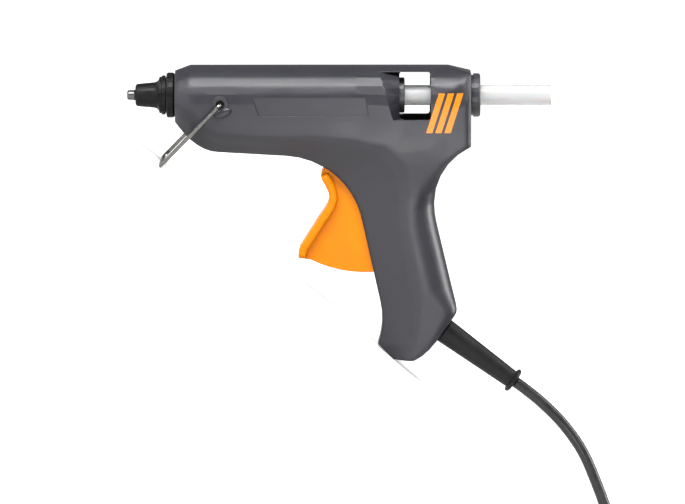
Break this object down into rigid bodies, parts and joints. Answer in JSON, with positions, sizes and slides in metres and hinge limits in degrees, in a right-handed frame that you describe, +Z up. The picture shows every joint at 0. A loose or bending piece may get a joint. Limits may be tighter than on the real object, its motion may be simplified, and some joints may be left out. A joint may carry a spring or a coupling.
{
  "type": "hot glue applicator",
  "caption": "Pistol-shaped hot glue applicator on its wire stand, with a finger trigger, a glue stick in its rear collar and a mains cord tied in a hank.",
  "frame": {"origin": "centre of the bounding box's base on the table, the free cord and what is on it left out", "axes": "+Z up off the table, +X from the nozzle towards the handle's heel and the cord, -Y the side seen in the picture"},
  "size_m": [0.5496, 0.0624, 0.1706],
  "materials": {
    "housing_plastic": "satin, fine grain",
    "trigger_plastic": "semi-gloss orange",
    "boot_rubber": "matte silicone",
    "nozzle_metal": "plated metal, slightly worn",
    "chamber_aluminium": "die cast",
    "pin_steel": "drawn steel",
    "stand_wire": "bright plated wire",
    "glue": "translucent, milky",
    "sleeve_rubber": "matte silicone",
    "carriage_plastic": "moulded",
    "collar_plastic": "moulded",
    "heater_ceramic": "matt ceramic plate",
    "relief_rubber": "satin",
    "cord_rubber": "satin sheath",
    "lead_sleeve": "woven glass sleeve",
    "terminal_plastic": "moulded",
    "tie_plastic": "coated wire tie",
    "plug_rubber": "satin moulding",
    "plug_metal": "nickel plated"
  },
  "bodies": {
    "housing": {"clamp_screw_1": "pin_steel", "clamp_screw_2": "pin_steel", "cord": "cord_rubber", "cord_clamp": "carriage_plastic", "cord_hank": "cord_rubber", "cord_tail": "cord_rubber", "cord_tie": "tie_plastic", "heater_element": "heater_ceramic", "heater_lead_left": "lead_sleeve", "heater_lead_right": "lead_sleeve", "housing_left": "housing_plastic", "housing_right": "housing_plastic", "housing_screw_1": "pin_steel", "housing_screw_2": "pin_steel", "housing_screw_3": "pin_steel", "housing_screw_4": "pin_steel", "housing_screw_5": "pin_steel", "housing_screw_6": "pin_steel", "inlet_sleeve": "sleeve_rubber", "melt_tube": "chamber_aluminium", "nozzle": "nozzle_metal", "nozzle_boot": "boot_rubber", "plug": "plug_rubber", "plug_pin_1": "plug_metal", "plug_pin_2": "plug_metal", "rear_collar": "collar_plastic", "return_spring": "pin_steel", "strain_relief": "relief_rubber", "terminal_block": "terminal_plastic", "trigger_pin": "pin_steel"},
    "trigger": {"trigger": "trigger_plastic", "drive_pin": "pin_steel"},
    "carriage": {"carriage": "carriage_plastic", "jaw_pin": "pin_steel"},
    "jaw": {"grip_jaw": "pin_steel"},
    "stick": {"glue_stick": "glue"},
    "stand": {"wire_stand": "stand_wire"}
  },
  "joints": [
    {"name": "trigger_pull", "type": "hinge", "parent": "housing", "child": "trigger", "pos_m": [-0.01303, 0, 0.078], "axis": [0, -1, 0], "range_deg": [0, 15], "stiffness_Nm_per_rad": 0.115, "springref_deg": -24.64, "deforming": ["return_spring"]},
    {"name": "carriage_feed", "type": "slide", "parent": "housing", "child": "carriage", "axis": [-0.7654, 0, -0.6435], "range_m": [0, 0.00472]},
    {"name": "jaw_bite", "type": "hinge", "parent": "carriage", "child": "jaw", "pos_m": [-0.01652, 0, 0.1008], "axis": [0, -1, 0], "range_deg": [0, 3.76]},
    {"name": "stick_feed", "type": "slide", "parent": "housing", "child": "stick", "axis": [-0.7654, 0, -0.6435], "range_m": [-0.165, 0]},
    {"name": "stand_swing", "type": "hinge", "parent": "housing", "child": "stand", "pos_m": [-0.0906, 0, 0.04767], "axis": [0, -1, 0], "range_deg": [0, 92.5]}
  ],
  "couplings": [
    {"joint": "carriage_feed", "follows": "trigger_pull", "m_per_rad": 0.01795},
    {"joint": "jaw_bite", "follows": "trigger_pull", "ratio": 0.25}
  ]
}
